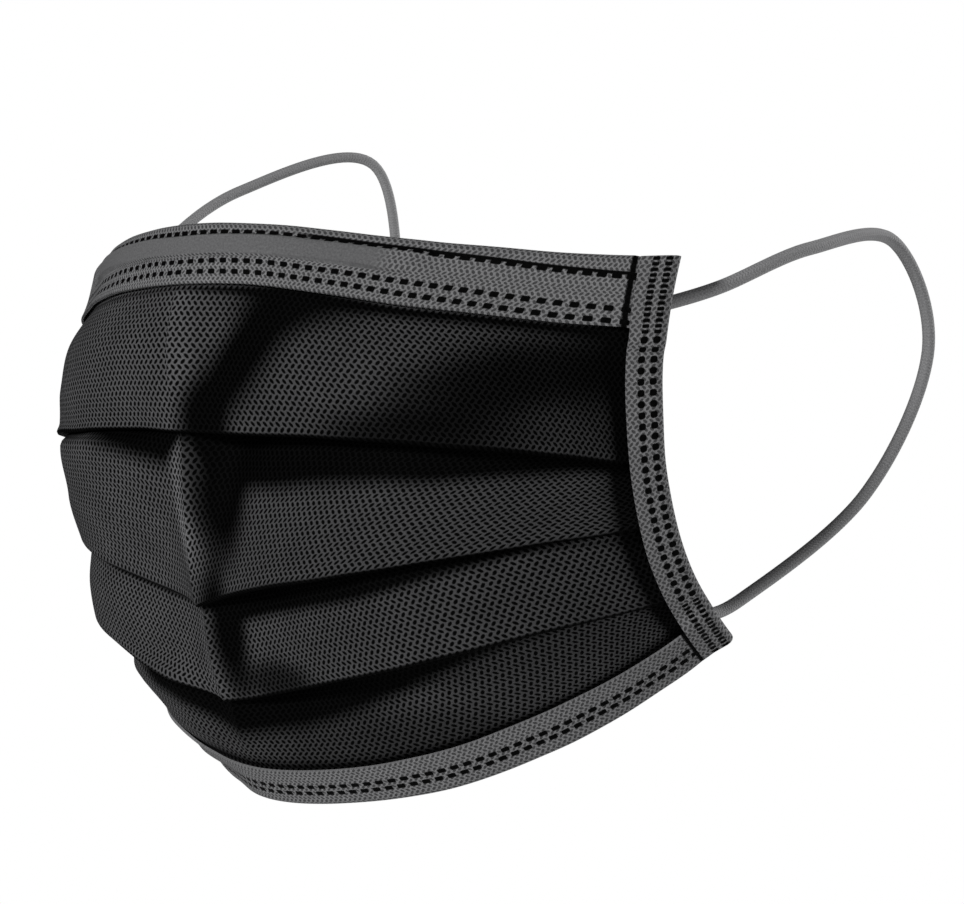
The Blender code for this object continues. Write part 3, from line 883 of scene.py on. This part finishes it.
seam = work_out(tree, drifted, (
    ("far", "ABSOLUTE", "s"),
    ("past", "SUBTRACT", "far", SEAM_FROM),
    ("in_length", "MULTIPLY", "past", 0.3),
    ("from_line", "SUBTRACT", "t", SEAM_LINE),
    ("off", "ABSOLUTE", "from_line"),
    ("within", "SUBTRACT", SEAM_HALF, "off"),
    ("in_height", "MULTIPLY", "within", 7.0),
    ("both", "MINIMUM", "in_length", "in_height"),
))
# The welds' mask also carries the painted shadow line beside the side bindings' edges, drawn black like
# the welds
welds = joined(tree, [welds, add_node(tree, "ShaderNodeClamp", {0: seam["both"]}),
                      edge_shadow_ends(tree, flat_mm, top_across)])
finish_tape(tree, shader, flat_uv, shown["pits"], welds)
top_binding.data.materials.append(top_tape)

bottom_tape, tree, shader, flat_mm, flat_uv = new_material("grey_spunbond_bottom_binding")
pits = embossed_pits(tree, flat_mm, flat_uv, TAPE_PITS)
# The welds' mask also carries the painted shadow line beside the side bindings' edges, drawn black like
# the welds
welds = joined(tree, [weld_row(tree, flat_mm, below, BOTTOM_PITCH, *BOTTOM_DOT, shift=shift)
                      for below, shift in BOTTOM_WELDS] + [edge_shadow_ends(tree, flat_mm, across)])
finish_tape(tree, shader, flat_uv, pits, welds)
bottom_binding.data.materials.append(bottom_tape)

for piece, node in ((top_binding, "top_binding"), (bottom_binding, "bottom_binding")):
    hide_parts(node)
    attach(piece, "root")

zinc, tree, shader, flat_mm, flat_uv = new_material("galvanised_soft_iron")
coordinates = add_node(tree, "ShaderNodeTexCoord")
spangle = add_node(tree, "ShaderNodeTexNoise", {"Vector": coordinates.outputs["Object"], "Scale": 900.0})
zinc_colour = add_node(tree, "ShaderNodeMix",
                       {0: spangle.outputs[0], 6: linear("#8c8e90"), 7: linear("#b4b6b8")},
                       data_type="RGBA")
tree.links.new(zinc_colour.outputs[2], shader.inputs["Base Color"])
shader.inputs["Metallic"].default_value = 1.0
shader.inputs["Roughness"].default_value = 0.45
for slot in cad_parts["nose_wire"].material_slots:
    slot.material = zinc


# ---------------------------------------------------------------------------------------------
# Side bindings. The same grey tape folded over the pleat ends and over the ends of the other two
# bindings, welded in two columns of round dots, with dense bars where the ear loops are fixed.
# ---------------------------------------------------------------------------------------------

SIDE_THIN = 0.0030                   # width of its thin outer part, beyond the pleat ends
DEEPEST_LAYER = 0.0033
SIDE_RAMP = 0.035
STEP_ROOM = 0.015
SIDE_STATIONS = 150
TOP_CUT = (-0.012, 0.004)            # places of its cut ends, at the fold and at the inner edge
BOTTOM_CUT = (0.979, 0.968)
SIDE_ROWS = (2.5, 4.5)               # mm from the inner edge of the outer flap to each column of welds
SIDE_DOTS = (1.85, 1.15, 1.15)       # pitch, width and height in mm
SIDE_BARS = (0.93, 0.60, 1.10)
BARS_ABOVE = 13.0                    # mm down the binding, with bars above this place
BARS_BELOW = 63.0                    # and below this one


def binding_depths(place):
    """How far the side binding's outer and inner flaps lie from the body's front layer."""
    on_top = 1 - smooth_step((place - row_value("band_edge", "side") - STEP_ROOM) / SIDE_RAMP)
    on_bottom = smooth_step((place - row_value("bottom_edge", "side") + STEP_ROOM) / SIDE_RAMP + 1)
    over_binding = max(on_top, on_bottom)
    return LAYER * (1 + over_binding), LAYER + mix(DEEPEST_LAYER, LAYER, over_binding)


def side_line(step, sign):
    """Across a side binding's middle surface at a step down it: outer flap, fold, inner flap."""
    line = [(0.0, mix(SIDE_WIDTH, LAYER, i / 12)) for i in range(13)]
    turns = [math.pi * i / 8 for i in range(1, 9)]
    line += [((1 - math.cos(turn)) / 2, LAYER - LAYER * math.sin(turn)) for turn in turns]
    line += [(1.0 + smooth_step(i / 4), mix(LAYER, SIDE_THIN, i / 4)) for i in range(1, 5)]
    line += [(2.0, mix(SIDE_THIN, SIDE_WIDTH, i / 5)) for i in range(1, 6)]
    points = []
    for kind, across in line:
        inwards = across / SIDE_WIDTH
        place = mix(mix(*TOP_CUT, inwards), mix(*BOTTOM_CUT, inwards), step)
        outwards, back = side_frame(place)
        front, rear = binding_depths(place)
        depth = mix(mix(-front, -front + 2 * LAYER, min(kind, 1.0)), rear, max(kind - 1.0, 0.0))
        p = side_edge(place) - outwards * across + back * depth
        points.append(settle(Vector((sign * p.x, p.y, p.z))))
    return points


side_tape, tree, shader, flat_mm, flat_uv = new_material("grey_spunbond_side_binding")
pits = embossed_pits(tree, flat_mm, flat_uv, TAPE_PITS)
turned = {"s": flat_mm["t"], "t": flat_mm["s"]}
round_dots = joined(tree, [weld_row(tree, turned, row, *SIDE_DOTS, corner=0.45) for row in SIDE_ROWS])
bars = joined(tree, [weld_row(tree, turned, row, *SIDE_BARS, corner=0.2) for row in SIDE_ROWS])
ends = work_out(tree, flat_mm, (
    ("top", "LESS_THAN", "t", BARS_ABOVE),
    ("bottom", "GREATER_THAN", "t", BARS_BELOW),
    ("either", "MAXIMUM", "top", "bottom"),
))
chosen = add_node(tree, "ShaderNodeMix", {0: ends["either"], 2: round_dots, 3: bars}, data_type="FLOAT")
finish_tape(tree, shader, flat_uv, pits, chosen.outputs[0])

side_bindings = []
for name, sign in (("side_binding_left", 1), ("side_binding_right", -1)):
    lines = [side_line(step / SIDE_STATIONS, sign) for step in range(SIDE_STATIONS + 1)]
    if sign < 0:
        lines = [line[::-1] for line in lines]
    across = [0.0]
    middle = lines[SIDE_STATIONS // 2]
    for before, after in zip(middle, middle[1:]):
        across.append(across[-1] + (after - before).length * 1000)
    if sign < 0:
        across = [across[-1] - a for a in across]
    down = [0.0]
    for upper, lower in zip(lines, lines[1:]):
        down.append(down[-1] + (lower[6] - upper[6]).length * 1000)
    piece = mapped_grid(name + "_tape", lines, across, down)
    thicken(piece, BINDING_THICK)
    piece.data.materials.append(side_tape)
    side_bindings.append(piece)

for piece, node in zip(side_bindings, ("side_binding_left", "side_binding_right")):
    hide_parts(node)
    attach(piece, "root")


# ---------------------------------------------------------------------------------------------
# Studio: a pale floor well below the mask, soft light from the front left, and the camera.
# ---------------------------------------------------------------------------------------------

CAMERA_PLACE = Vector((0.3385, -0.2581, -0.0243))
CAMERA_AIM = Vector((0.0369, 0.0343, -0.0386))
CAMERA_LENS = 89.3                   # mm, on a sensor 36 mm wide
FLOOR_RADIUS = 1.3
FLOOR_HEIGHT = -0.45

bpy.ops.mesh.primitive_circle_add(vertices=96, radius=FLOOR_RADIUS, fill_type="NGON",
                                  location=(0, 0, FLOOR_HEIGHT))
floor = bpy.context.object
floor.name = "studio_floor"
floor_paint = bpy.data.materials.new("matt_white_floor")
floor_paint.use_nodes = True
floor_shader = floor_paint.node_tree.nodes["Principled BSDF"]
floor_shader.inputs["Base Color"].default_value = linear("#f4f4f4")
floor_shader.inputs["Roughness"].default_value = 0.9
floor.data.materials.append(floor_paint)

world = bpy.data.worlds.new("studio_air")
world.use_nodes = True
air = world.node_tree
seen = add_node(air, "ShaderNodeLightPath")
glow = add_node(air, "ShaderNodeMapRange", {0: seen.outputs["Is Camera Ray"], 3: 0.09, 4: 1.0})
air.links.new(glow.outputs[0], air.nodes["Background"].inputs["Strength"])
air.nodes["Background"].inputs["Color"].default_value = (1, 1, 1, 1)
bpy.context.scene.world = world

LAMPS_AIM = Vector((0.0, 0.03, -0.05))
LAMPS = {                            # direction from there, distance, diameter and watts
    "key": ((0.05, -0.90, 0.36), 1.1, 0.22, 12.0),
    "fill": ((0.90, -0.60, 0.10), 1.2, 0.80, 2.5),
    "back": ((0.30, 0.90, 0.35), 1.3, 0.60, 22.0),
}
for name, (towards, distance, size, power) in LAMPS.items():
    direction = Vector(towards).normalized()
    bpy.ops.object.light_add(type="AREA", location=LAMPS_AIM + direction * distance)
    lamp = bpy.context.object
    lamp.name = "studio_" + name
    lamp.rotation_euler = direction.to_track_quat("Z", "Y").to_euler()
    lamp.data.shape = "DISK"
    lamp.data.size = size
    lamp.data.energy = power

bpy.ops.object.camera_add(location=CAMERA_PLACE)
camera = bpy.context.object
camera.name = "studio_camera"
camera.rotation_euler = (CAMERA_AIM - CAMERA_PLACE).to_track_quat("-Z", "Y").to_euler()
camera.data.sensor_width = 36.0
camera.data.lens = CAMERA_LENS
bpy.context.scene.camera = camera
bpy.context.scene.view_settings.view_transform = "Standard"
